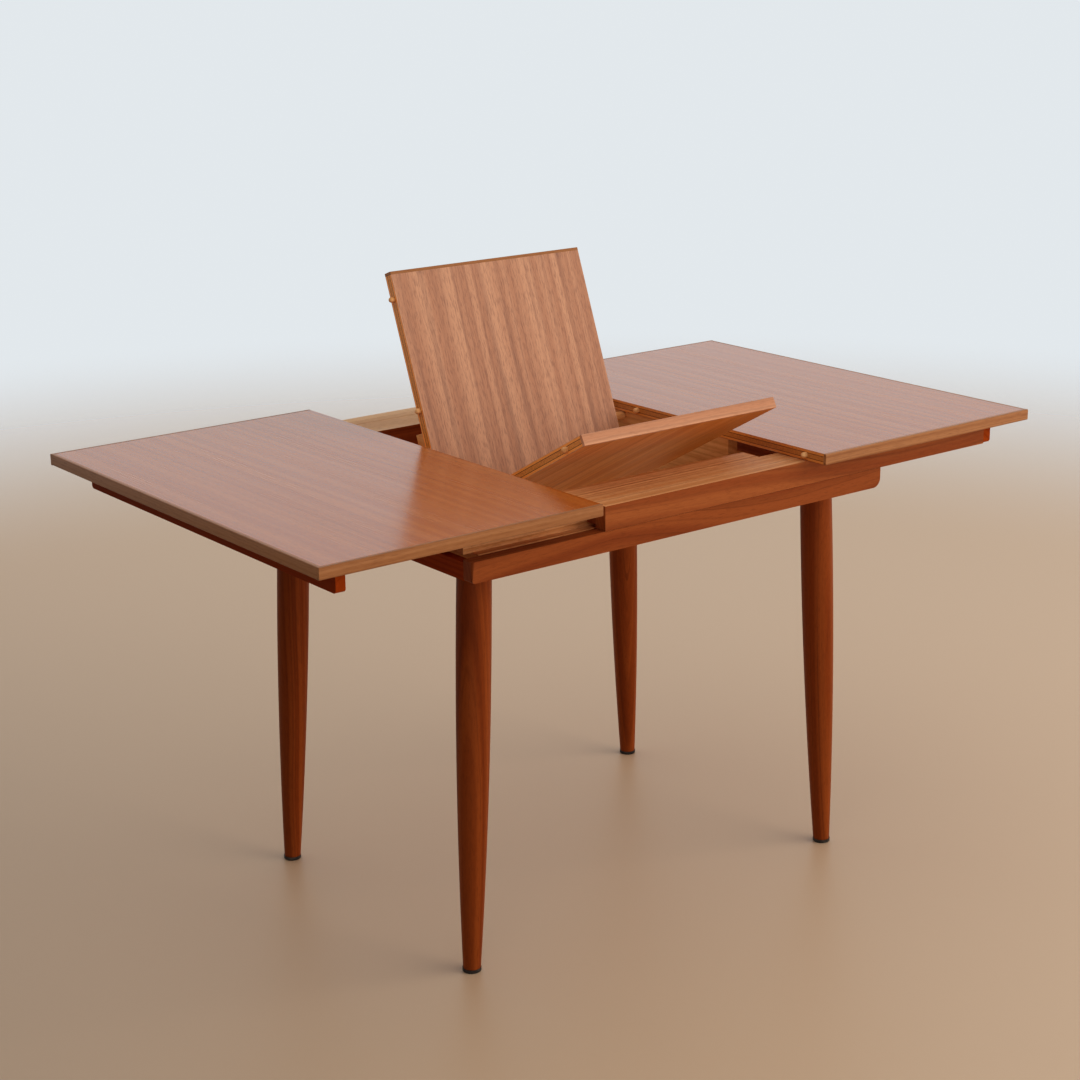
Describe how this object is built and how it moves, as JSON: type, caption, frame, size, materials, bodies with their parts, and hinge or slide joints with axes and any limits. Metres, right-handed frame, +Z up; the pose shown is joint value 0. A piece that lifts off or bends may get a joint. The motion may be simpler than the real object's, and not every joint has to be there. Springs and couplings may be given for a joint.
{
  "type": "butterfly leaf extension table",
  "caption": "Rectangular wooden dining table on round tapered legs whose two top halves slide apart over a folding centre leaf.",
  "frame": {"origin": "on the floor, under the middle of the four legs", "axes": "+Z up, +X along the table towards the half that carries the upper rails, +Y towards the back, where the rear leaf panel lies when flat"},
  "size_m": [1.421, 0.798, 1.0125],
  "materials": {
    "top_veneer": "satin teak veneer, grain across the table",
    "leaf_veneer": "satin teak veneer",
    "teak_lipping": "satin oiled teak",
    "teak_rail": "satin oiled teak",
    "teak_leg": "satin oiled teak",
    "pale_wood": "bare planed hardwood",
    "dowel": "bare turned hardwood",
    "brass": "brushed",
    "steel": "zinc plated",
    "glide": "dark moulded plastic"
  },
  "bodies": {
    "base": {"base_end_left": "teak_rail", "base_end_right": "teak_rail", "base_rail_back": "teak_rail", "base_rail_front": "teak_rail", "glide_back_left": "glide", "glide_back_right": "glide", "glide_front_left": "glide", "glide_front_right": "glide", "guide_block_back": "pale_wood", "guide_block_front": "pale_wood", "guide_rail_back": "pale_wood", "guide_rail_front": "pale_wood", "guide_screws": "steel", "leaf_bearer_left": "pale_wood", "leaf_bearer_right": "pale_wood", "leg_back_left": "teak_leg", "leg_back_right": "teak_leg", "leg_bearer_left": "pale_wood", "leg_bearer_right": "pale_wood", "leg_bolts": "steel", "leg_front_left": "teak_leg", "leg_front_right": "teak_leg", "leg_plate_screws": "steel", "leg_plates": "steel"},
    "left_half": {"left_end_rail": "teak_rail", "left_lipping_back": "teak_lipping", "left_lipping_end": "teak_lipping", "left_lipping_front": "teak_lipping", "left_runner_back": "pale_wood", "left_runner_front": "pale_wood", "left_top_panel": "top_veneer", "left_top_screws": "steel"},
    "right_half": {"right_dowels": "dowel", "right_end_rail": "teak_rail", "right_lipping_back": "teak_lipping", "right_lipping_end": "teak_lipping", "right_lipping_front": "teak_lipping", "right_rail_back": "teak_rail", "right_rail_front": "teak_rail", "right_slide_back": "pale_wood", "right_slide_front": "pale_wood", "right_top_panel": "top_veneer", "right_top_screws": "steel"},
    "rear_leaf": {"leaf_back_panel": "leaf_veneer", "leaf_back_lipping": "teak_lipping", "leaf_back_dowels": "dowel", "hinge_leaves_back": "brass", "hinge_screws_back": "steel", "hinge_pins": "brass", "pivot_block_left": "pale_wood", "pivot_block_right": "pale_wood", "pivot_pins": "dowel", "pivot_screws": "steel"},
    "front_leaf": {"leaf_front_panel": "leaf_veneer", "leaf_front_lipping": "teak_lipping", "leaf_front_dowels": "dowel", "hinge_leaves_front": "brass", "hinge_screws_front": "steel"}
  },
  "joints": [
    {"name": "left_half_slide", "type": "slide", "parent": "base", "child": "left_half", "axis": [1, 0, 0], "range_m": [0, 0.031]},
    {"name": "right_half_slide", "type": "slide", "parent": "base", "child": "right_half", "axis": [-1, 0, 0], "range_m": [0, 0.02]},
    {"name": "leaf_pivot", "type": "hinge", "parent": "base", "child": "rear_leaf", "pos_m": [0, 0.0997, 0.724], "axis": [1, 0, 0], "range_deg": [-69.2, 57.2]},
    {"name": "leaf_fold", "type": "hinge", "parent": "rear_leaf", "child": "front_leaf", "pos_m": [0, 0.0398, 0.6401], "axis": [-1, 0, 0], "range_deg": [-98, 81.1]}
  ],
  "couplings": [
    {"joint": "leaf_fold", "follows": "leaf_pivot", "ratio": 1.4162}
  ]
}
